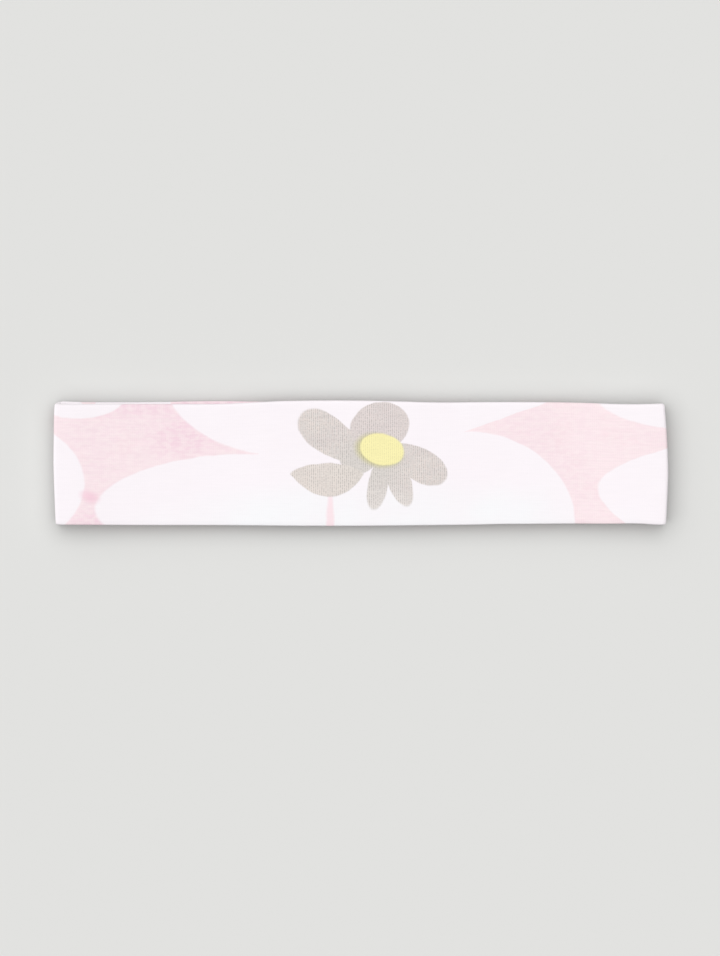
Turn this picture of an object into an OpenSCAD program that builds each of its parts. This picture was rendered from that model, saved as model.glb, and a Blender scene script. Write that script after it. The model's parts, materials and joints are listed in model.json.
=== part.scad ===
// Jersey loop headband, lying flat: a tube of printed single jersey, closed into a loop.
// X runs along the band, Y across it and Z up. The origin is below the middle of the band,
// on the surface that it lies on. The cloth bends along lines across the band, so it is cut
// there into sections: panels in the back and front half, and a fold at each end.

/* [Band] */
// Length of the band lying flat, half its way round
flat_length = 215; // [160:5:280]
// Width of the band
band_w = 43; // [30:1:80]
// Space between the back half and the front half
halves_gap = 0.9; // [0.7:0.1:3]

/* [Cloth] */
// Thickness of one layer of jersey
cloth_t = 0.5; // [0.4:0.05:0.7]
// Width of the allowance that the long seam turns inside, at the bottom edge
allowance_w = 5; // [3:0.5:7]
// Width of the allowance that the join turns inside, on each side of it
join_allowance_w = 6; // [4:0.5:7]

/* [Bending] */
// Panels on each side of the middle panel, in each half
side_panels = 3; // [2:1:4]
// Gap between two sections where the cloth bends
bend_gap = 0.3; // [0.2:0.05:0.5]
// Angle to spare between two panels when the loop is fully open
spare_angle = 2; // [1:0.5:5]

/* [Stitching] */
// Thickness of the sewing thread
thread_t = 0.3; // [0.2:0.05:0.4]
// Width of the overlock thread along a raw edge
overlock_w = 0.8; // [0.5:0.1:1.2]
// Length of one closing stitch
stitch_l = 2; // [1:0.25:2.5]
// Distance from one closing stitch to the next
stitch_pitch = 3; // [3:0.25:5]
// Distance from the join to the closing stitches
stitch_inset = 1.2; // [1:0.1:3]

/* [Hidden] */
$fn = 32;
panels = 2 * side_panels + 1;
panel_l = flat_length / panels;
full_bend = 180 / panels;
// Each half is four layers thick at the long seam: its two sides and the allowance's two layers.
half_t = 4 * cloth_t;
hollow_t = half_t - 2 * cloth_t;
total_t = 2 * half_t + halves_gap;
edge_r = half_t / 2;
hollow_y0 = cloth_t + allowance_w - band_w / 2;
hollow_y1 = band_w / 2 - cloth_t;
join_x = panel_l / 2;
fold_mitre = 45;
// The sections are numbered round the loop from the middle of the back half, by the left fold.
left_fold_i = side_panels + 1;
front_i = 2 * side_panels + 2;
right_fold_i = 3 * side_panels + 3;
sections = 4 * side_panels + 4;
last_i = sections - 1;
SECTION_NAMES = concat(
    ["back_centre"],
    [for (k = [1:side_panels]) str("back_left_", k)],
    ["left_fold"],
    [for (k = [side_panels:-1:1]) str("front_left_", k)],
    ["front_centre"],
    [for (k = [1:side_panels]) str("front_right_", k)],
    ["right_fold"],
    [for (k = [side_panels:-1:1]) str("back_right_", k)]
);
jersey_pink = [0.98, 0.93, 0.95];
thread_white = [0.96, 0.95, 0.96];

// Half of the band cut across: two layers, closed by the fold at the top edge and by the
// seam at the bottom edge, where the allowance fills the space between them.
module band_profile() {
    difference() {
        union() {
            translate([edge_r - band_w / 2, 0]) square([band_w - 2 * edge_r, half_t]);
            for (side = [-1, 1]) translate([side * (band_w / 2 - edge_r), edge_r]) circle(edge_r);
        }
        hollow_profile();
    }
}

// The space between the two layers.
module hollow_profile() {
    hollow_r = hollow_t / 2;
    translate([hollow_y0, cloth_t]) square([hollow_y1 - hollow_r - hollow_y0, hollow_t]);
    translate([hollow_y1 - hollow_r, edge_r]) circle(hollow_r);
}

// The overlock thread along the raw edge of the allowance.
module overlock_profile() {
    translate([hollow_y0, edge_r - thread_t]) square([overlock_w, 2 * thread_t]);
}

// A profile drawn across the band, run from x0 to x1.
module along_band(x0, x1) {
    translate([x0, 0, 0]) rotate([90, 0, 90]) linear_extrude(x1 - x0) children();
}

// A prism across the band with this outline in X and Z.
module across_band(outline) {
    rotate([90, 0, 0]) linear_extrude(band_w + 2, center = true) polygon(outline);
}

// The side view of a panel, with its ends cut back so that it can bend inwards.
// The bending lines are on its lower face, the outer one.
function end_slope(is_fold) = is_fold ? fold_mitre : full_bend / 2 + spare_angle;
function end_lean(is_fold) = half_t * tan(end_slope(is_fold));
function panel_outline(slot) =
    let (x0 = (slot - 0.5) * panel_l + bend_gap / 2, x1 = (slot + 0.5) * panel_l - bend_gap / 2)
    [[x0, 0], [x1, 0], [x1 - end_lean(slot == side_panels), half_t],
        [x0 + end_lean(slot == -side_panels), half_t]];

// One panel's share of a profile. Slot 0 is the middle of the half, and -1 is left of it.
module panel(slot) {
    intersection() {
        along_band((slot - 0.5) * panel_l, (slot + 0.5) * panel_l) children();
        across_band(panel_outline(slot));
    }
}

// The left fold's share of a profile, which stands up between the two halves.
module left_fold() {
    x0 = -flat_length / 2;
    intersection() {
        translate([x0 + half_t, 0, 0]) rotate([0, 0, 90]) linear_extrude(total_t) children();
        across_band([[x0, bend_gap / 2], [x0 + half_t, half_t + bend_gap / 2],
            [x0 + half_t, total_t - half_t - bend_gap / 2], [x0, total_t - bend_gap / 2]]);
    }
}

// Section i's share of a profile, where that section lies.
module section(i) {
    if (i == left_fold_i) left_fold() children();
    else if (i == right_fold_i) mirror([1, 0, 0]) left_fold() children();
    else if (abs(i - front_i) <= side_panels)
        translate([0, 0, total_t]) mirror([0, 0, 1]) panel(i - front_i) children();
    else panel(i < front_i ? -i : sections - i) children();
}

// The two cloth ends that the join turns inside, between the layers of the section beside it.
module join_allowance(slot, x0) {
    intersection() {
        along_band(x0, x0 + join_allowance_w) hollow_profile();
        across_band(panel_outline(slot));
    }
}

module jersey(i) {
    color(jersey_pink) {
        section(i) band_profile();
        if (i == 0) join_allowance(0, join_x - join_allowance_w);
        if (i == last_i) join_allowance(1, join_x);
    }
}

// The overlock thread stops at the join's allowance, in the two sections beside the join.
module seam_thread(i) {
    color(thread_white) difference() {
        section(i) overlock_profile();
        if (i == 0 || i == last_i)
            translate([join_x - join_allowance_w, -band_w / 2, 0])
                cube([2 * join_allowance_w, band_w, half_t]);
    }
}

// The overlock thread along the raw edge of the join's allowance, inside the tube.
module join_thread() {
    thread_y0 = hollow_y0 + overlock_w + thread_t;
    color(thread_white)
        translate([join_x - join_allowance_w - overlock_w, thread_y0, edge_r - thread_t])
            cube([overlock_w, hollow_y1 - hollow_t - thread_y0, 2 * thread_t]);
}

// The hand stitches that close the join, on the side of the cloth that faces the head.
module closing_stitches() {
    stitch_x = join_x - bend_gap / 2 - end_lean(false) - stitch_inset - thread_t;
    room = band_w - 2 * edge_r - stitch_l;
    steps = floor(room / stitch_pitch);
    color(thread_white)
        for (k = [0:steps])
            translate([stitch_x, (k - steps / 2) * stitch_pitch - stitch_l / 2, half_t])
                cube([thread_t, stitch_l, thread_t]);
}

for (i = [0:last_i]) {
    jersey(i);
    seam_thread(i);
}
join_thread();
closing_stitches();
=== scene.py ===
# %% [markdown]
# # A printed jersey headband, lying flat
# The object is one strip of fine cotton jersey. It is folded lengthwise into a tube, so it is two
# layers thick, and the tube is closed into a loop that goes round a head. Here the loop lies
# collapsed: its front half rests on its back half, and the cloth turns back on itself at the two
# ends. X runs along the band, Y across it and Z up. Everything is in metres.
#
# The rigid model under these looks is 16 flat sections joined by hinges, so that the loop can
# open. Its boxes give every size that is used below.

# %% Load the frame
import json
import math

import bmesh
import bpy
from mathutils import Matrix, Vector

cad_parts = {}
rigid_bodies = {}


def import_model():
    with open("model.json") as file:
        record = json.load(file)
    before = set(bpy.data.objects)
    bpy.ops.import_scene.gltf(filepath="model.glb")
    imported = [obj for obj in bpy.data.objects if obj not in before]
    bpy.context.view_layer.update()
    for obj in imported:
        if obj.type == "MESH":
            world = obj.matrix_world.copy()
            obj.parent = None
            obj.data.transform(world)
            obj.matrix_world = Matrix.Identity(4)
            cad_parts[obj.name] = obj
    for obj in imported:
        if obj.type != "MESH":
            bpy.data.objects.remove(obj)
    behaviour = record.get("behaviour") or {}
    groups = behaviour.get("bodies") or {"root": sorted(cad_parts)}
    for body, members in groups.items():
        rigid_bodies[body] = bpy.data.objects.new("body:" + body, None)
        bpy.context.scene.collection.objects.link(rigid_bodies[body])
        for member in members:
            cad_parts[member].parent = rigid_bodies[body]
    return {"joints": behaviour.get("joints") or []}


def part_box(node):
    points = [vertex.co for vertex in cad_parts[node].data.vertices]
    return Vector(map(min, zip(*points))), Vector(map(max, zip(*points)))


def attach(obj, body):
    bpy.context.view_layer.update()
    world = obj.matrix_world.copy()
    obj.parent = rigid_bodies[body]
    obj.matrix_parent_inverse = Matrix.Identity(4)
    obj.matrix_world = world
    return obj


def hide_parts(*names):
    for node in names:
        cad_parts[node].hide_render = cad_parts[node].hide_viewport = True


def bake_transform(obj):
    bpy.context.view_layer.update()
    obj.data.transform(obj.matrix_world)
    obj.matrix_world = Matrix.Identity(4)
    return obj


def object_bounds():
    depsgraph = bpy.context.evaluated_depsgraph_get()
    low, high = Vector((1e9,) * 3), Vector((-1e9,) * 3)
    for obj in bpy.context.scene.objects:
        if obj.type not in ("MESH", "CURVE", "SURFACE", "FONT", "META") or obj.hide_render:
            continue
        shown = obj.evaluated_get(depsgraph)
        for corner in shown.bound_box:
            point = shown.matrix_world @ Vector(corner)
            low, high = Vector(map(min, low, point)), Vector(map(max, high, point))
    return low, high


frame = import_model()
cad_low, cad_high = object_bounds()

# %% Sizes that come from the frame
MM = 0.001
joints = frame["joints"]
half_l = cad_high.x
half_w = cad_high.y
total_t = cad_high.z
half_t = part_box("jersey_back_centre")[1].z
layer_t = half_t / 4
panel_l = -2 * joints[0]["pos_m"][0]
join_x = panel_l / 2
print(f"band {2 * half_l:.4f} by {2 * half_w:.4f}, {total_t:.4f} thick, panels {panel_l:.5f}")

# %% [markdown]
# ## Camera, floor and light
# The band is seen from straight above, far enough away that its sides don't show. A long lens
# does that; an orthographic camera would too, but a lens keeps the other views natural. The
# light is one very broad soft box almost straight above, tilted a little to the upper left, so
# the floor darkens softly all round the band and most below it and on its right; a contact
# shadow painted into the floor's colour deepens this. A weak white sky fills in the sides.

# %% Camera
LENS_MM = 100
VIEW_H = 334.6 * MM
camera_data = bpy.data.cameras.new("camera")
camera_data.lens = LENS_MM
camera_data.sensor_width = 36
camera_distance = VIEW_H * LENS_MM / camera_data.sensor_width
camera = bpy.data.objects.new("camera", camera_data)
camera.location = (0, -5.4 * MM, total_t + camera_distance)
bpy.context.scene.collection.objects.link(camera)
bpy.context.scene.camera = camera
print(f"camera {camera_distance:.3f} m above the band")

# %% Colours as they look, and the light that they are seen in
FLOOR_LIGHT = 1.15


def seen(red, green, blue):
    """The surface colour that looks like this screen colour, 0 to 255, in the scene's light."""
    def linear(c):
        return c / 12.92 if c <= 0.04045 else ((c + 0.055) / 1.055) ** 2.4
    return tuple(linear(c / 255) / FLOOR_LIGHT for c in (red, green, blue)) + (1.0,)


# %% Floor
def new_object(name, mesh):
    made = bpy.data.objects.new(name, mesh)
    bpy.context.scene.collection.objects.link(made)
    return made


def mesh_of(name, bm):
    mesh = bpy.data.meshes.new(name)
    bm.to_mesh(mesh)
    bm.free()
    return mesh


bm = bmesh.new()
bmesh.ops.create_grid(bm, x_segments=1, y_segments=1, size=3.0)
floor = new_object("floor", mesh_of("floor", bm))

# %% [markdown]
# The floor is matt paper. White cloth throws so much light back on white paper that its contact
# shadow all but vanishes, so a contact shadow is painted into the paper's colour: it is darkened a
# little close to whatever stands on it, as far as an Ambient Occlusion node tells how closed in
# each point is.

# %% Floor material
paper = bpy.data.materials.new("floor_paper")
paper.use_nodes = True
paper_nodes = paper.node_tree.nodes
# Painted shadow: the paper's colour is darkened where the Ambient Occlusion node finds it closed in.
openness = paper_nodes.new("ShaderNodeAmbientOcclusion")
openness.inputs["Distance"].default_value = 9 * MM
painted_shadow_factor = paper_nodes.new("ShaderNodeMath")
painted_shadow_factor.operation = "POWER"
painted_shadow_factor.inputs[1].default_value = 0.39
paper_with_painted_shadow = paper_nodes.new("ShaderNodeVectorMath")
paper_with_painted_shadow.operation = "SCALE"
paper_with_painted_shadow.inputs[0].default_value = seen(226, 226, 224)[:3]
paper.node_tree.links.new(openness.outputs["AO"], painted_shadow_factor.inputs[0])
paper.node_tree.links.new(painted_shadow_factor.outputs[0], paper_with_painted_shadow.inputs["Scale"])
paper_shader = paper_nodes["Principled BSDF"]
paper.node_tree.links.new(paper_with_painted_shadow.outputs[0], paper_shader.inputs["Base Color"])
paper_shader.inputs["Roughness"].default_value = 0.95
paper_shader.inputs["Specular IOR Level"].default_value = 0.0
floor.data.materials.append(paper)

# %% Light
SKY_SHARE = 0.1
world = bpy.data.worlds.new("studio")
world.use_nodes = True
sky = world.node_tree.nodes["Background"]
sky.inputs["Color"].default_value = (1, 1, 1, 1)
looked_at = world.node_tree.nodes.new("ShaderNodeLightPath")
sky_tone = world.node_tree.nodes.new("ShaderNodeMapRange")
sky_tone.inputs["To Min"].default_value = FLOOR_LIGHT * SKY_SHARE
sky_tone.inputs["To Max"].default_value = seen(226, 226, 226)[0] * FLOOR_LIGHT
world.node_tree.links.new(looked_at.outputs["Is Camera Ray"], sky_tone.inputs["Value"])
world.node_tree.links.new(sky_tone.outputs[0], sky.inputs["Strength"])
bpy.context.scene.world = world

BOX_WIDTH = math.radians(124)
BOX_TILT = math.radians(18)
BOX_GAIN = 1.05
key_data = bpy.data.lights.new("soft_box", "SUN")
key_data.angle = BOX_WIDTH
key_data.energy = FLOOR_LIGHT * (1 - SKY_SHARE) * math.pi * BOX_GAIN
key = bpy.data.objects.new("soft_box", key_data)
toward_light = Vector((-math.sin(BOX_TILT), math.sin(BOX_TILT), math.sqrt(2) * math.cos(BOX_TILT)))
key.rotation_euler = toward_light.to_track_quat("Z", "Y").to_euler()
bpy.context.scene.collection.objects.link(key)
bpy.context.scene.view_settings.view_transform = "Standard"

# %% [markdown]
# ## Building shader nodes
# The print is made of a few dozen simple shapes, so small helpers keep its recipe readable: one
# makes a Math node from numbers or sockets, one mixes two colours, and one places a group.


# %% Node helpers
def feed(tree, socket, value):
    """Links a socket to an input, or sets the input to a number, vector or colour."""
    if isinstance(value, bpy.types.NodeSocket):
        tree.links.new(value, socket)
    else:
        socket.default_value = value


def maths(tree, operation, *values):
    made = tree.nodes.new("ShaderNodeMath")
    made.operation = operation
    for socket, value in zip(made.inputs, values):
        feed(tree, socket, value)
    return made.outputs[0]


def mixed(tree, share, first, second):
    """The first colour where share is 0, and the second where it is 1."""
    made = tree.nodes.new("ShaderNodeMix")
    made.data_type = "RGBA"
    feed(tree, made.inputs[0], share)
    feed(tree, made.inputs[6], first)
    feed(tree, made.inputs[7], second)
    return made.outputs[2]


def ramped(tree, value, low, high, to_low=0.0, to_high=1.0):
    """A value from low to high, taken smoothly to the range from to_low to to_high."""
    made = tree.nodes.new("ShaderNodeMapRange")
    made.interpolation_type = "SMOOTHSTEP"
    for socket, number in zip(made.inputs, (value, low, high, to_low, to_high)):
        feed(tree, socket, number)
    return made.outputs[0]


def vector_maths(tree, operation, first, second):
    made = tree.nodes.new("ShaderNodeVectorMath")
    made.operation = operation
    feed(tree, made.inputs[0], first)
    feed(tree, made.inputs[1], second)
    return made.outputs[0]


def noise(tree, place, scale, detail=2.0):
    """Noise from 0 to 1. Scale is a number, or one for each direction where it is stretched."""
    made = tree.nodes.new("ShaderNodeTexNoise")
    if isinstance(scale, tuple):
        place, scale = vector_maths(tree, "MULTIPLY", place, scale), 1.0
    feed(tree, made.inputs["Vector"], place)
    made.inputs["Scale"].default_value = scale
    made.inputs["Detail"].default_value = detail
    return made.outputs[0]


def new_group(name, inputs, outputs):
    """A shader group with these sockets: its tree, its inputs by name and its output node."""
    tree = bpy.data.node_groups.new(name, "ShaderNodeTree")
    for label, kind in inputs:
        tree.interface.new_socket(label, in_out="INPUT", socket_type=f"NodeSocket{kind}")
    for label, kind in outputs:
        tree.interface.new_socket(label, in_out="OUTPUT", socket_type=f"NodeSocket{kind}")
    entry = tree.nodes.new("NodeGroupInput")
    return tree, entry.outputs, tree.nodes.new("NodeGroupOutput").inputs


def placed(tree, group, **values):
    """A group placed in a tree. Returns its outputs."""
    made = tree.nodes.new("ShaderNodeGroup")
    made.node_tree = group
    for label, value in values.items():
        feed(tree, made.inputs[label.replace("_", " ")], value)
    return made.outputs


# %% [markdown]
# ## The petal shape
# Every painted form of the print is an egg: an ellipse that is fatter towards one end. The
# petals of the small flower, its yellow middle and the huge pale petals behind it differ only in
# place, turn, size and taper. One group draws an egg as a mask with a soft edge, in the cloth's
# own flat coordinates, so that the print bends with the cloth.

# %% Petal group
petal_group, given, result = new_group(
    "petal_shape",
    [("Place", "Vector"), ("Centre", "Vector"), ("Turn", "Float"), ("Half length", "Float"),
     ("Half width", "Float"), ("Taper", "Float"), ("Soft edge", "Float")],
    [("Mask", "Float")],
)
turner = petal_group.nodes.new("ShaderNodeVectorRotate")
turner.rotation_type = "Z_AXIS"
petal_group.links.new(vector_maths(petal_group, "SUBTRACT", given["Place"], given["Centre"]),
                      turner.inputs["Vector"])
petal_group.links.new(maths(petal_group, "MULTIPLY", given["Turn"], -1), turner.inputs["Angle"])
own = petal_group.nodes.new("ShaderNodeSeparateXYZ")
petal_group.links.new(turner.outputs[0], own.inputs[0])
along = maths(petal_group, "DIVIDE", own.outputs[0], given["Half length"])
taper = maths(petal_group, "MULTIPLY_ADD", along, given["Taper"], 1)
width_here = maths(petal_group, "MULTIPLY", given["Half width"],
                   maths(petal_group, "MAXIMUM", taper, 0.05))
aside = maths(petal_group, "DIVIDE", own.outputs[1], width_here)
reach = maths(petal_group, "SQRT", maths(petal_group, "ADD",
              maths(petal_group, "POWER", along, 2), maths(petal_group, "POWER", aside, 2)))
soft = maths(petal_group, "DIVIDE", given["Soft edge"], given["Half width"])
petal_group.links.new(
    ramped(petal_group, reach, maths(petal_group, "SUBTRACT", 1, soft),
           maths(petal_group, "ADD", 1, soft), 1.0, 0.0),
    result["Mask"])

# %% [markdown]
# ## The knit
# Single jersey shows columns of small V stitches, the wales, about 14 to a centimetre, which run
# across the band. Each V is two slanted legs. The knit could be a displaced mesh, but a stitch is
# far smaller than any view needs, so it is a bump, and shade is painted into the colour in the gaps
# between the wales, deeper where there is dye, since ink doesn't reach down there either. Fine uneven
# yarn also leaves faint streaks along the courses.

# %% Knit group
WALE_PITCH = 0.728 * MM
COURSE_PITCH = 0.56 * MM
knit_group, given, result = new_group(
    "jersey_knit", [("Place", "Vector")],
    [("Height", "Float"), ("Gap", "Float"), ("Streak", "Float")])
wander = noise(knit_group, given["Place"], 90.0)
own = knit_group.nodes.new("ShaderNodeSeparateXYZ")
knit_group.links.new(given["Place"], own.inputs[0])
wale = maths(knit_group, "ADD", maths(knit_group, "DIVIDE", own.outputs[0], WALE_PITCH),
             maths(knit_group, "MULTIPLY", wander, 0.8))
from_middle = maths(knit_group, "ABSOLUTE", maths(knit_group, "SUBTRACT",
                    maths(knit_group, "FRACT", wale), 0.5))
leg = maths(knit_group, "SUBTRACT", 1, maths(knit_group, "POWER",
            maths(knit_group, "MULTIPLY", maths(knit_group, "SUBTRACT", from_middle, 0.25), 4), 2))
course = maths(knit_group, "ADD", maths(knit_group, "DIVIDE", own.outputs[1], COURSE_PITCH),
               maths(knit_group, "MULTIPLY", from_middle, 1.3))
beat = maths(knit_group, "MULTIPLY_ADD",
             maths(knit_group, "COSINE", maths(knit_group, "MULTIPLY", course, 2 * math.pi)),
             0.2, 0.8)
knit_group.links.new(maths(knit_group, "MULTIPLY", leg, beat), result["Height"])
yarn = noise(knit_group, given["Place"], (1400.0, 2000.0, 1.0), 2.0)
knit_group.links.new(maths(knit_group, "MULTIPLY", ramped(knit_group, from_middle, 0.1, 0.5),
                           ramped(knit_group, yarn, 0.35, 0.65, 0.3, 1.7)), result["Gap"])
knit_group.links.new(noise(knit_group, given["Place"], (110.0, 1700.0, 1.0), 3.0),
                     result["Streak"])

# %% [markdown]
# ## The print
# The ground is the white jersey with a breath of lavender. A pale pink wash lies over it, and
# huge white petals are left open in the wash, so the pink shows only as stars between them. In
# the middle of the front is a small flower in warm grey with a yellow eye, a leaf and a pink
# stem. Each shape below is a line of its own: centre, turn in degrees, half length, half width
# and taper, in millimetres of cloth. The first number of a centre runs along the band from the
# middle of the front, and the second across it, up to the fold of the top edge and on over it.

# %% Shapes left white in the pink wash
WHITE_PETALS = [
    # the front, from its left end to its right end
    (-98.3, 26.1, 1.6, 17.5, 9.8, 0.0),
    (-132.0, -6.5, 0.0, 35.5, 24.0, 0.0),
    (-53.7, -11.8, 7.1, 39.4, 14.7, 0.0),
    (-11.7, 33.9, 5.0, 56.6, 32.0, 0.0),
    (0.0, 0.0, 0.0, 36.0, 30.0, 0.0),
    (-22.0, -25.0, 0.0, 24.0, 12.0, 0.0),
    (18.1, 32.3, -11.6, 49.0, 29.4, -0.76),
    (40.5, -18.7, -13.8, 35.1, 29.5, 0.0),
    (115.8, 25.6, 2.1, 33.6, 13.5, 0.16),
    (138.7, -16.4, -8.5, 56.1, 29.4, 0.43),
    # the back half and the side that faces the head
    (-111.0, 27.0, 0.0, 10.5, 8.0, 0.0),
    (-138.0, 24.0, 0.0, 13.5, 11.0, 0.0),
    (-200.0, -12.0, -14.0, 31.0, 17.0, 0.2),
    (-192.0, 47.0, 12.0, 36.0, 19.0, 0.0),
    (-108.0, 53.0, -4.0, 33.0, 13.0, 0.3),
    (98.0, 55.0, -7.0, 34.0, 13.5, 0.0),
    (176.0, 42.0, 10.0, 25.0, 20.0, -0.2),
]
print(f"{len(WHITE_PETALS)} white petals")

# %% Shapes of the small flower
GREY_PETALS = [
    (-8.9, 8.1, 144.9, 14.6, 6.1, 0.36),
    (6.9, 12.7, 15.0, 10.5, 8.2, 0.0),
    (20.4, 0.0, -29.6, 11.2, 5.6, 0.19),
    (13.4, -5.3, -69.5, 10.0, 4.1, 0.0),
    (6.6, -5.9, -101.5, 10.3, 3.4, 0.2),
    (3.0, 4.4, 6.6, 10.6, 6.5, -0.86),
]
LEAF_SIDES = [(-10.8, -5.8, -6.8, 13.8, 5.8, 0.2), (-11.1, 24.3, 23.3, 26.2, 30.9, -0.5)]
YELLOW_EYE = (7.7, 4.8, -12.0, 7.7, 5.4, 0.0)
EYE_HALO = (6.7, 4.5, -12.0, 8.3, 5.7, 0.0)
STEM = (-10.4, -21.0, -90.0, 12.0, 1.4, 0.3)
print(f"{len(GREY_PETALS)} grey petals, a leaf, a stem and an eye")


# %% Laying shapes on the cloth
def painted(tree, place, shape, soft_edge):
    """The mask of one shape of the print. Its edge fades over soft_edge millimetres each way."""
    along, across, turn, length, width, narrowing = shape
    return placed(tree, petal_group, Place=place, Centre=(along * MM, across * MM, 0),
                  Turn=math.radians(turn), Half_length=length * MM, Half_width=width * MM,
                  Taper=narrowing, Soft_edge=soft_edge * MM)["Mask"]


def joined(tree, operation, masks):
    """One mask from several: MAXIMUM is inside any of them, MINIMUM inside all of them."""
    total = masks[0]
    for mask in masks[1:]:
        total = maths(tree, operation, total, mask)
    return total


def scaled(tree, vector, factor):
    made = tree.nodes.new("ShaderNodeVectorMath")
    made.operation = "SCALE"
    feed(tree, made.inputs[0], vector)
    feed(tree, made.inputs["Scale"], factor)
    return made.outputs[0]


# %% [markdown]
# The dye spreads a little in the yarn, so no edge is quite clean. Before any shape is drawn, its
# coordinates are pushed about by a little noise, coarse for the brush and fine for the yarn.

# %% Print group: place and ground
print_group, given, result = new_group(
    "watercolour_print", [("Place", "Vector")],
    [("Colour", "Color"), ("Ink", "Float"), ("Wash", "Float")])
brush = print_group.nodes.new("ShaderNodeTexNoise")
brush.inputs["Scale"].default_value = 190.0
brush.inputs["Detail"].default_value = 4.0
print_group.links.new(given["Place"], brush.inputs["Vector"])
push = vector_maths(print_group, "SUBTRACT", brush.outputs["Color"], (0.5, 0.5, 0.5))
place = vector_maths(print_group, "ADD", given["Place"], scaled(print_group, push, 0.9 * MM))

COOL_PATCH = (8.0, -23.0, 0.0, 72.0, 15.0, 0.0)
ground = mixed(print_group, painted(print_group, place, COOL_PATCH, 6.0),
               seen(253, 247, 251), seen(250, 250, 252))
ground = mixed(print_group, ramped(print_group, noise(print_group, place, 38.0), 0.35, 0.7, 0, 0.5),
               ground, seen(252, 245, 249))

# %% Print group: the pink wash
PINK_DEPTHS = (26.0, 75.0)
blotches = noise(print_group, place, PINK_DEPTHS[0], 3.0)
pink = mixed(print_group, ramped(print_group, blotches, 0.35, 0.65),
             seen(252, 233, 237), seen(249, 228, 234))
pink = mixed(print_group,
             ramped(print_group, noise(print_group, place, PINK_DEPTHS[1], 4.0), 0.45, 0.75, 0, 0.7),
             pink, seen(250, 226, 231))
MAGENTA_PATCHES = [(-61.0, 10.0, 10.0, 12.0, 7.0, 0.0), (-76.0, 22.0, 0.0, 20.0, 4.5, 0.0),
                   (-95.0, -21.0, 0.0, 6.0, 4.0, 0.0), (-168.0, 24.0, 0.0, 27.0, 6.5, 0.0)]
magenta = joined(print_group, "MAXIMUM",
                 [painted(print_group, place, shape, 3.5) for shape in MAGENTA_PATCHES])
pink = mixed(print_group, maths(print_group, "MULTIPLY", magenta, 0.85), pink, seen(246, 217, 228))
grain = noise(print_group, place, (380.0, 620.0, 1.0), 4.0)
pink = mixed(print_group, ramped(print_group, grain, 0.35, 0.65, 0, 0.6), pink, seen(253, 237, 239))
whites = joined(print_group, "MAXIMUM",
                [painted(print_group, place, shape, 0.35) for shape in WHITE_PETALS])
colour = mixed(print_group, whites, pink, ground)
CROSSING = (-94.6, -11.5, -15.0, 2.9, 1.8, 0.0)
colour = mixed(print_group, painted(print_group, place, CROSSING, 1.4), colour,
               seen(247, 212, 224))
colour = mixed(print_group, painted(print_group, place, STEM, 0.6), colour, seen(252, 231, 236))

# %% Print group: the grey flower
greys = [painted(print_group, place, shape, 0.25) for shape in GREY_PETALS]
greys.append(joined(print_group, "MINIMUM",
                    [painted(print_group, place, shape, 0.25) for shape in LEAF_SIDES]))
flower = joined(print_group, "MAXIMUM", greys)
washes = noise(print_group, place, (70.0, 190.0, 1.0), 4.0)
grey = mixed(print_group, ramped(print_group, washes, 0.35, 0.65),
             seen(219, 209, 206), seen(225, 215, 210))
yarns = noise(print_group, place, (1300.0, 700.0, 1.0), 2.0)
grey = mixed(print_group, ramped(print_group, yarns, 0.35, 0.65, 0, 0.55), grey,
             seen(217, 213, 210))
MIDDLE = (2.5, -0.5, 0.0, 11.0, 8.5, 0.0)
LOWER_TIPS = (9.0, -14.0, 0.0, 11.0, 6.5, 0.0)
grey = mixed(print_group,
             maths(print_group, "MULTIPLY", painted(print_group, place, LOWER_TIPS, 3.0), 0.7),
             grey, seen(225, 219, 215))
grey = mixed(print_group,
             maths(print_group, "MULTIPLY", painted(print_group, place, MIDDLE, 5.0), 0.8),
             grey, seen(214, 209, 204))
grey = mixed(print_group, maths(print_group, "MULTIPLY", greys[1], 0.4), grey,
             seen(221, 209, 209))
grey = mixed(print_group, maths(print_group, "MULTIPLY", greys[-1], 0.5), grey,
             seen(229, 220, 212))
colour = mixed(print_group, flower, colour, grey)
halo = maths(print_group, "MULTIPLY", painted(print_group, place, EYE_HALO, 1.1), flower)
colour = mixed(print_group, halo, colour, seen(207, 201, 162))
eye = painted(print_group, place, YELLOW_EYE, 0.3)
colour = mixed(print_group, eye, colour, seen(249, 241, 180))
print_group.links.new(colour, result["Colour"])
print_group.links.new(maths(print_group, "SUBTRACT", flower,
                            maths(print_group, "MULTIPLY", eye, 0.6)), result["Ink"])
print_group.links.new(maths(print_group, "SUBTRACT", 1, whites), result["Wash"])
print(f"print group: {len(print_group.nodes)} nodes")

# %% [markdown]
# ## The jersey's finish
# Cotton jersey is matt, with a soft bright edge where it curves away, because fine hairs stand up
# from it: that is the shader's sheen, and a highlight painted into the colour along the ends and
# the turned bottom edge adds to it. The print and the knit both read the piece's own UV map,
# which holds places on the flat strip in metres, so nothing stretches where the cloth turns over.

# %% Jersey material
def own_place(tree):
    """Places on the flat strip, from the piece's own UV map."""
    made = tree.nodes.new("ShaderNodeUVMap")
    made.uv_map = "cloth"
    return made.outputs[0]


def new_material(name):
    made = bpy.data.materials.new(name)
    made.use_nodes = True
    return made, made.node_tree, made.node_tree.nodes["Principled BSDF"]


jersey, tree, shader = new_material("printed_jersey")
place = own_place(tree)
knit = placed(tree, knit_group, Place=place)
dye = placed(tree, print_group, Place=place)
MEAN_GAP = 0.4


def by_dye(white, grey, pink):
    """A strength that is this much on white, and this much more where there is grey or pink dye."""
    return maths(tree, "MULTIPLY_ADD", dye["Ink"], grey,
                 maths(tree, "MULTIPLY_ADD", dye["Wash"], pink, white))


# Painted shade: the colour is darkened in the gaps between the wales and lifted on them, more on grey
# and pink dye.
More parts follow.
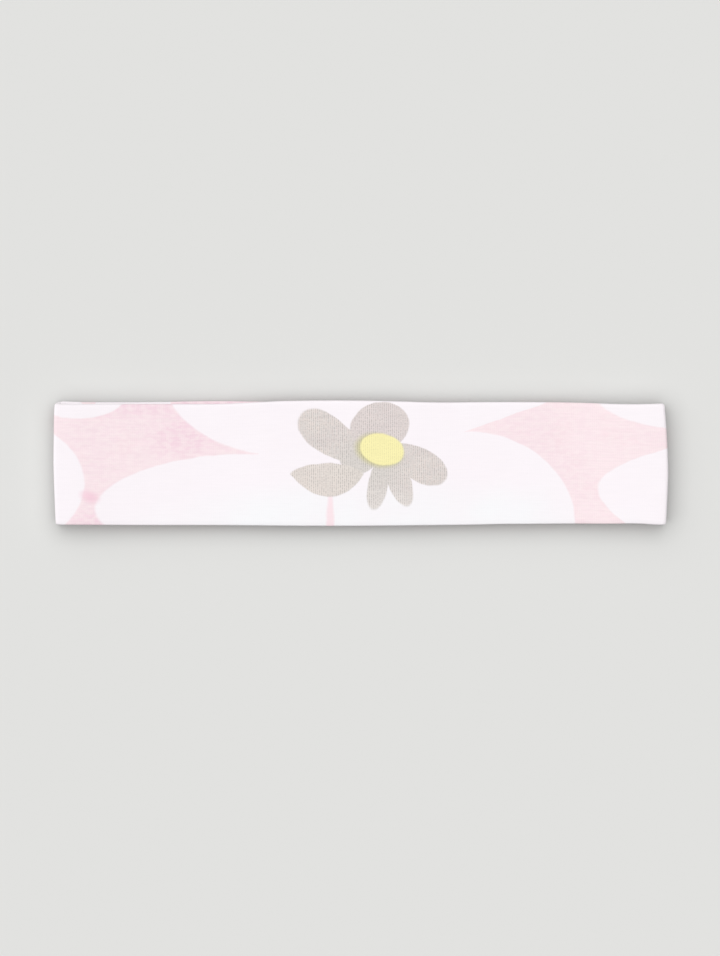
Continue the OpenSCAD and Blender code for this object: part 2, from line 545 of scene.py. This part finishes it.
painted_wale_shade = maths(tree, "MULTIPLY", maths(tree, "SUBTRACT", MEAN_GAP, knit["Gap"]),
                      by_dye(0.01, 0.22, 0.012))
streaks = maths(tree, "MULTIPLY",
                maths(tree, "SUBTRACT", 0.5, ramped(tree, knit["Streak"], 0.3, 0.7)),
                by_dye(0.014, 0.06, 0.022))
flat_place = tree.nodes.new("ShaderNodeSeparateXYZ")
tree.links.new(place, flat_place.inputs[0])
# Painted highlight: the colour is lifted by up to 6 per cent along the ends and the turned bottom
# edge.
to_end = maths(tree, "SUBTRACT", maths(tree, "ABSOLUTE", flat_place.outputs[0]), 106.4 * MM)
to_seam = maths(tree, "SUBTRACT", -20.7 * MM, flat_place.outputs[1])
painted_edge_highlight = maths(tree, "MAXIMUM", ramped(tree, to_end, 0, 0.7 * MM), ramped(tree, to_seam, 0, 0.5 * MM))
lit = maths(tree, "ADD", maths(tree, "MULTIPLY_ADD", painted_edge_highlight, 0.06, 1.006),
            maths(tree, "ADD", painted_wale_shade, streaks))
tree.links.new(scaled(tree, dye["Colour"], lit), shader.inputs["Base Color"])
shader.inputs["Roughness"].default_value = 0.9
shader.inputs["Specular IOR Level"].default_value = 0.2
shader.inputs["Sheen Weight"].default_value = 0.6
shader.inputs["Sheen Roughness"].default_value = 0.3
bump = tree.nodes.new("ShaderNodeBump")
bump.inputs["Strength"].default_value = 0.35
bump.inputs["Distance"].default_value = 0.08 * MM
tree.links.new(knit["Height"], bump.inputs["Height"])
tree.links.new(bump.outputs[0], shader.inputs["Normal"])

# %% [markdown]
# ## How the cloth lies
# Every point of the flat strip has two cut coordinates: how far it is along the strip from the
# middle of the front, and how far across it from the fold of the top edge, plus on the outside
# and minus on the side that faces the head. Two small functions take those to the finished
# band. The first folds the strip lengthwise into the tube: round the top edge, down the face,
# round the turned edge of the seam and up its allowance. The second lays the tube along the
# collapsed loop: across the front, round an end, and back underneath. A cloth simulation could
# lay it too, but a pressed band is this regular, and the exact folds keep it in its rigid model.

# %% Folding the strip into a tube
layer_half = layer_t / 2
top_radius = half_t / 2 - layer_half
turn_radius = layer_half
arc_y = half_w - half_t / 2
turn_y = -(half_w - turn_radius - layer_half)
arc_length = top_radius * math.pi / 2
face_length = arc_y - turn_y
turn_length = turn_radius * math.pi
STRIP_W = 96 * MM
print(f"flat strip {STRIP_W:.3f} wide, face {face_length:.4f}")


def across_tube(distance):
    """Height across the band, and depth below the outer face, at a distance over the strip."""
    side = 1 if distance >= 0 else -1
    left = abs(distance)
    if left < arc_length:
        angle = left / top_radius
        return arc_y + top_radius * math.cos(angle), half_t / 2 - side * top_radius * math.sin(angle)
    left -= arc_length
    if left < face_length:
        return arc_y - left, half_t / 2 - side * top_radius
    left -= face_length
    if left < turn_length:
        angle = left / turn_radius
        middle = half_t / 2 - side * (top_radius - turn_radius)
        return turn_y - turn_radius * math.sin(angle), middle - side * turn_radius * math.cos(angle)
    left -= turn_length
    return turn_y + left, half_t / 2 - side * (top_radius - 2 * turn_radius)


# %% Laying the tube along the loop
fold_radius = total_t / 2
fold_x = half_l - fold_radius
fold_length = math.pi * fold_radius
loop_half = 2 * fold_x + fold_length
join_lean = math.radians(frame["joints"][0]["range_deg"][1] / 2)
BLUNTNESS = 5.0


def blunt_reach(angle):
    """Radius of a turn that is blunter than a circle, with its flats at its two ends and middle."""
    total = abs(math.sin(angle)) ** BLUNTNESS + abs(math.cos(angle)) ** BLUNTNESS
    return total ** (-1 / BLUNTNESS)


def fold_share(along):
    """0 on the front half, 1 on the back half, and between them round an end."""
    return min(1.0, max(0.0, (abs(along) - fold_x) / fold_length))


def on_loop(along, depth):
    """X and Z of a point that is this far along the strip and this deep in the tube."""
    side = 1 if along >= 0 else -1
    angle = fold_share(along) * math.pi
    if angle == 0:
        return along, total_t - depth
    if angle < math.pi:
        reach = (fold_radius - depth) * blunt_reach(angle)
        return side * (fold_x + reach * math.sin(angle)), fold_radius + reach * math.cos(angle)
    return side * (loop_half - abs(along)), depth


# %% [markdown]
# A pressed band is never quite straight. Its edges swell and draw in by half a millimetre. The
# right end bows out between its corners and the left one slants. The front half has slipped a
# little down at the left, so that the back half peeps out above it. Towards both ends the front
# stands up by a millimetre, where the folded cloth springs open. Each of these is a smooth hump,
# added to the exact shape.


# %% Slight unevenness
def hump(x, centre, width, height):
    """A smooth hill in millimetres, as metres."""
    return height * MM * math.exp(-((x / MM - centre) / width) ** 2)


def ease(x, low, high):
    """From 0 at low to 1 at high, without a corner."""
    share = min(1.0, max(0.0, (x - low) / (high - low)))
    return share * share * (3 - 2 * share)


def top_shift(x, share):
    """How far the top edge stands out from the exact shape, on the front (share 0) or back (1)."""
    front = -0.25 * MM + hump(x, -9, 29, 0.55) + hump(x, 27, 12, -0.25) + hump(x, 96, 18, -0.75)
    slipped = -0.75 * MM * (1 - ease(x, -52 * MM, -24 * MM))
    back = -0.25 * MM + hump(x, -108, 9, 0.35) + hump(x, -50, 18, 0.4)
    back += hump(x, 27, 14, -0.2) + hump(x, 97, 20, -0.7)
    return (front + slipped) * (1 - share) + back * share


def bottom_shift(x, share):
    """The same for the bottom edge: up is more."""
    front = -0.25 * MM + hump(x, -10, 40, -0.45) + hump(x, 75, 25, 0.35) + hump(x, 105, 6, -0.2)
    front += hump(x, -75, 22, -0.15) + hump(x, 50, 8, 0.12) + hump(x, 97, 7, 0.25)
    back = 0.2 * MM
    return front * (1 - share) + back * share


def corner_pull(x, y):
    """How far an end is drawn in: the right one bows out between its corners, the left one slants."""
    fade = ease(abs(x), 84 * MM, 107 * MM)
    if x > 0:
        from_bow = y / MM + 4
        most, reach, power = (1.4, 25.5, 1.7) if from_bow > 0 else (0.75, 17.5, 1.3)
        return (most * (abs(from_bow) / reach) ** power - 0.45) * MM * fade
    reach = abs(y) / half_w
    slant = 0.25 * reach + 0.4 * reach ** 12 if y > 0 else 0.8 * reach ** 1.2
    return (slant + 0.1) * MM * fade


def end_puff(x):
    """How far the front's face stands up near the ends, where the folded cloth springs open."""
    return 1.2 * MM * ease(abs(x), 66 * MM, 106 * MM)


def face_wave(x, y):
    """The rise and fall of the front's face."""
    fade = 1 - ease(abs(x), 84 * MM, 102 * MM)
    along = math.sin(x * 152 + y * 30) + 0.6 * math.sin(x * 71 - y * 60 + 1.3)
    return 0.08 * MM * along * fade


# %% [markdown]
# At the join the strip's two ends meet on the outer face. They lean apart below it by half the
# angle that the loop opens by there, so that they close up, but don't cut into each other, when
# it is a ring. The allowance pulls a shallow groove into the outer face along the join.

# %% One point of the band
JOIN_REACH = 3 * MM
JOIN_GROOVE = 0.18 * MM
JOIN_CLEARANCE = 0.04 * MM


def settled(along, y, depth):
    """Where a point of the tube lies on the finished band: along the strip, across, and deep."""
    x, z = on_loop(along, depth)
    share = fold_share(along)
    height = (y + half_w) / (2 * half_w)
    y += top_shift(x, share) * height + bottom_shift(x, share) * (1 - height)
    z += end_puff(x) * z / total_t
    if share == 0:
        z += face_wave(x, y)
    from_join = min(abs(along + loop_half + join_x), abs(along - loop_half + join_x))
    if from_join < JOIN_REACH:
        near = 1 - from_join / JOIN_REACH
        z += JOIN_GROOVE * near ** 4 * (1 - depth / half_t)
        lean = (z * math.tan(join_lean) + JOIN_CLEARANCE) * near
        x += lean if along > 0 else -lean
    x -= corner_pull(x, y) * (1 if x > 0 else -1)
    return Vector((x, y, z))


for along in (0.0, fold_x + fold_length / 2, loop_half - join_x):
    print("outer face, middle of its height:", [round(c / MM, 2) for c in settled(along, 0, 0)])

# %% [markdown]
# ## Cutting the strip into pieces
# The rigid model bends at its hinges only, so the cloth is cut where nothing bends: in the middle
# of each section. Every piece then crosses exactly one hinge. At rest the pieces meet edge to edge.

# %% Sections in order round the loop
order = [joints[0]["parent"]] + [joint["child"] for joint in joints]
side_panels = (len(order) - 4) // 4


def section_middle(number):
    """How far along the strip the middle of a section is."""
    left_fold = side_panels + 1
    right_fold = 3 * side_panels + 3
    if number < left_fold:
        return -(loop_half - number * panel_l)
    if number == left_fold:
        return -(fold_x + fold_length / 2)
    if number < right_fold:
        return (number - 2 * side_panels - 2) * panel_l
    if number == right_fold:
        return fold_x + fold_length / 2
    return loop_half - (4 * side_panels + 4 - number) * panel_l


middles = [section_middle(number) for number in range(len(order))]
starts = [-(loop_half + join_x)] + middles[1:-1]
ends = middles[1:-1] + [loop_half - join_x]
strip_l = ends[-1] - starts[0]
print([f"{name} {middle / MM:.1f}" for name, middle in zip(order, middles)])
print(f"{len(starts)} pieces, strip {strip_l:.4f} long")


# %% Rows and columns of each piece
FLAT_STEP = 0.8 * MM
TURN_STEP = 0.12 * MM
CREASE_ROWS, FACE_ROWS, SEAM_TURN_ROWS, ALLOWANCE_ROWS = 8, 30, 6, 3


def spaced(stops):
    """Places from the first stop to the last. A stop is its place and the number of steps to it."""
    places = [stops[0][0]]
    for place, steps in stops[1:]:
        begin = places[-1]
        places += [begin + (place - begin) * (step + 1) / steps for step in range(steps)]
    return places


half_rows = spaced([(0, 0), (arc_length, CREASE_ROWS), (arc_length + face_length, FACE_ROWS),
                    (arc_length + face_length + turn_length, SEAM_TURN_ROWS),
                    (STRIP_W / 2, ALLOWANCE_ROWS)])
rows = [-row for row in reversed(half_rows[1:])] + half_rows


def columns_between(start, end):
    """Long steps where the cloth is flat, and short ones round an end and beside the join."""
    stops = {start, end}
    for turn in (-fold_x - fold_length, -fold_x, fold_x, fold_x + fold_length,
                 JOIN_REACH - loop_half - join_x, loop_half - join_x - JOIN_REACH):
        if start < turn < end:
            stops.add(turn)
    stops = sorted(stops)
    counted = [(stops[0], 0)]
    for before, after in zip(stops, stops[1:]):
        middle = abs(before + after) / 2
        tight = fold_x < middle < fold_x + fold_length or after - before < JOIN_REACH + MM
        step = TURN_STEP if tight else FLAT_STEP
        counted.append((after, max(2, round((after - before) / step))))
    return spaced(counted)


print(f"{len(rows)} rows, {len(columns_between(starts[4], ends[4]))} columns beside the left fold")


# %% Making one piece
CLOTH_SHARE = 0.92


def finished(scratch, name):
    """The mesh of an object with its modifiers applied. The scratch object is removed."""
    bpy.context.view_layer.update()
    seen_now = scratch.evaluated_get(bpy.context.evaluated_depsgraph_get())
    mesh = bpy.data.meshes.new_from_object(seen_now)
    mesh.name = name
    bpy.data.objects.remove(scratch)
    return mesh


def straight_tube(name, start, end):
    """A piece of the strip between two places, folded into a straight tube along X."""
    columns = columns_between(start, end)
    bm = bmesh.new()
    bmesh.ops.create_grid(bm, x_segments=len(columns) - 1, y_segments=len(rows) - 1, size=0.5)
    chart = bm.loops.layers.uv.new("cloth")
    cut = {}
    for corner in bm.verts:
        column = round((corner.co.x + 0.5) * (len(columns) - 1))
        row = round((corner.co.y + 0.5) * (len(rows) - 1))
        cut[corner] = (columns[column], rows[row])
    for face in bm.faces:
        for loop in face.loops:
            along, distance = cut[loop.vert]
            loop[chart].uv = (along, arc_y + arc_length - distance)
    for corner, (along, distance) in cut.items():
        y, depth = across_tube(distance)
        corner.co = (along, y, depth)
    scratch = new_object(name, mesh_of(name, bm))
    scratch.data.materials.append(jersey)
    wall = scratch.modifiers.new("thickness", "SOLIDIFY")
    wall.thickness = layer_t * CLOTH_SHARE
    wall.offset = 0
    return new_object(name, finished(scratch, name))


# %% [markdown]
# ## Laying the pieces
# Each piece is made straight, with X running along the strip, and laid on the loop only at the
# end. While it is straight the distance along the cloth is simply X, so the cloth is laid along
# its own length, however it was folded across.


def laid(piece):
    """Lays a straight piece where it belongs on the loop, folded round an end where it reaches one.
    """
    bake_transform(piece)
    for corner in piece.data.vertices:
        corner.co = settled(*corner.co)
    piece.data.flip_normals()
    piece.data.shade_smooth()
    piece.data.set_sharp_from_angle(angle=math.radians(50))
    return piece


# %% Cutting and bending all the cloth
for number, (start, end) in enumerate(zip(starts, ends)):
    child = order[number + 1]
    piece = laid(straight_tube(f"jersey_over_{order[number]}_{child}", start, end))
    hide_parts(f"jersey_{child}")
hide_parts(f"jersey_{order[0]}")

# %% [markdown]
# ## Threads
# Three threads hold the strip together. An overlock runs along the raw edge of the long seam's
# allowance, inside the tube, and another along the join's. They are loops of thread that lap over
# the edge, so each is a flattened coil. The coil is a curve with a round bevel, made a mesh so that
# it can be laid on the loop as the cloth is. Last come the closing stitches across the join, on
# the side that faces the head: each is a short thread that rises out of the cloth and dives back.

# %% Thread material
thread, tree, shader = new_material("sewing_thread")
spot = tree.nodes.new("ShaderNodeTexCoord").outputs["Object"]
PLY_PITCH = 0.22 * MM
slant = tree.nodes.new("ShaderNodeVectorMath")
slant.operation = "DOT_PRODUCT"
feed(tree, slant.inputs[0], spot)
feed(tree, slant.inputs[1], (1 / PLY_PITCH, 0.8 / PLY_PITCH, 1.3 / PLY_PITCH))
twist = maths(tree, "SINE", maths(tree, "MULTIPLY", slant.outputs["Value"], math.pi))
ply = maths(tree, "ABSOLUTE", twist)
fuzz = noise(tree, spot, 9000.0, 3.0)
# Painted shade: the grooves between the plies, where the bump is low, are coloured darker.
tone = mixed(tree, ramped(tree, ply, 0.0, 0.7), seen(226, 222, 228), seen(250, 247, 251))
tone = mixed(tree, ramped(tree, fuzz, 0.4, 0.7, 0, 0.4), tone, seen(238, 234, 240))
tree.links.new(tone, shader.inputs["Base Color"])
shader.inputs["Roughness"].default_value = 0.7
shader.inputs["Sheen Weight"].default_value = 0.3
bump = tree.nodes.new("ShaderNodeBump")
bump.inputs["Strength"].default_value = 0.5
bump.inputs["Distance"].default_value = 0.03 * MM
tree.links.new(maths(tree, "MULTIPLY_ADD", fuzz, 0.3, ply), bump.inputs["Height"])
tree.links.new(bump.outputs[0], shader.inputs["Normal"])

# %% A thread along one or more lines
THREAD_RADIUS = 0.12 * MM


def threaded(name, lines, radius=THREAD_RADIUS):
    """Round thread along each line of points, as one mesh."""
    curve = bpy.data.curves.new(name, "CURVE")
    curve.dimensions = "3D"
    curve.bevel_depth = radius
    curve.bevel_resolution = 1
    curve.use_fill_caps = True
    for line in lines:
        spline = curve.splines.new("POLY")
        spline.points.add(len(line) - 1)
        for point, place in zip(spline.points, line):
            point.co = (*place, 1)
    mesh = finished(new_object(name, curve), name)
    mesh.materials.clear()
    mesh.materials.append(thread)
    mesh.shade_smooth()
    mesh.set_sharp_from_angle(angle=math.radians(60))
    return new_object(name, mesh)


# %% The long seam's overlock
COIL_PITCH = 1.4 * MM
COIL_STEPS = 12
seam_low, seam_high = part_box("seam_thread_back_centre")
seam_y = (seam_low.y + seam_high.y) / 2
coil_y = (seam_high.y - seam_low.y) / 2 - THREAD_RADIUS
coil_depth = (seam_high.z - seam_low.z) / 2 - THREAD_RADIUS
seam_first = -(loop_half + seam_high.x)
seam_last = loop_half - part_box("seam_thread_back_right_1")[0].x


def seam_coil(start, end):
    """The overlock's coil on the straight tube."""
    steps = round((end - start) / COIL_PITCH * COIL_STEPS)
    line = []
    for step in range(steps + 1):
        along = start + (end - start) * step / steps
        turn = 2 * math.pi * along / COIL_PITCH
        line.append((along, seam_y + coil_y * math.cos(turn),
                     half_t / 2 + coil_depth * math.sin(turn)))
    return line


seam_spans = zip([seam_first] + starts[1:], ends[:-1] + [seam_last])
for number, (start, end) in enumerate(seam_spans):
    child = order[number + 1]
    straight = threaded(f"overlock_over_{order[number]}_{child}", [seam_coil(start, end)])
    piece = laid(straight)
    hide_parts(f"seam_thread_{child}")
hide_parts(f"seam_thread_{order[0]}")

# %% The join's overlock
join_low, join_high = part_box("join_thread")
join_middle = (join_low + join_high) / 2
join_radii = (join_high - join_low) / 2 - Vector((THREAD_RADIUS, 0, THREAD_RADIUS))
span = join_high.y - join_low.y - 2 * THREAD_RADIUS
turns = round(span / COIL_PITCH)
join_line = []
for step in range(turns * COIL_STEPS + 1):
    turn = 2 * math.pi * step / COIL_STEPS
    join_line.append(Vector((join_middle.x + join_radii.x * math.cos(turn),
                             join_low.y + THREAD_RADIUS + span * step / (turns * COIL_STEPS),
                             join_middle.z + join_radii.z * math.sin(turn))))
join_overlock = threaded("join_overlock", [join_line])
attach(join_overlock, order[0])
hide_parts("join_thread")
print(f"join overlock: {turns} turns")

# %% The closing stitches
STITCH_L = 2 * MM
STITCH_PITCH = 3 * MM
STITCH_STEPS = 12
STITCH_SLANT = 0.12 * MM
STITCH_DIP = 0.16 * MM
stitch_low, stitch_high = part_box("closing_stitches")
stitches = round((stitch_high.y - stitch_low.y - STITCH_L) / STITCH_PITCH) + 1
stitch_rise = stitch_high.z - stitch_low.z - THREAD_RADIUS
stitch_lines = []
for number in range(stitches):
    middle_y = stitch_low.y + STITCH_L / 2 + number * STITCH_PITCH
    arc = []
    for step in range(STITCH_STEPS + 1):
        part = step / STITCH_STEPS
        rise = (stitch_rise + STITCH_DIP) * math.sin(part * math.pi) ** 0.6
        arc.append(Vector(((stitch_low.x + stitch_high.x) / 2 + STITCH_SLANT * (part - 0.5),
                           middle_y + STITCH_L * (part - 0.5),
                           stitch_low.z - STITCH_DIP + rise)))
    stitch_lines.append(arc)
closing = threaded("closing_hand_stitches", stitch_lines)
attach(closing, order[0])
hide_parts("closing_stitches")
print(f"{stitches} closing stitches")
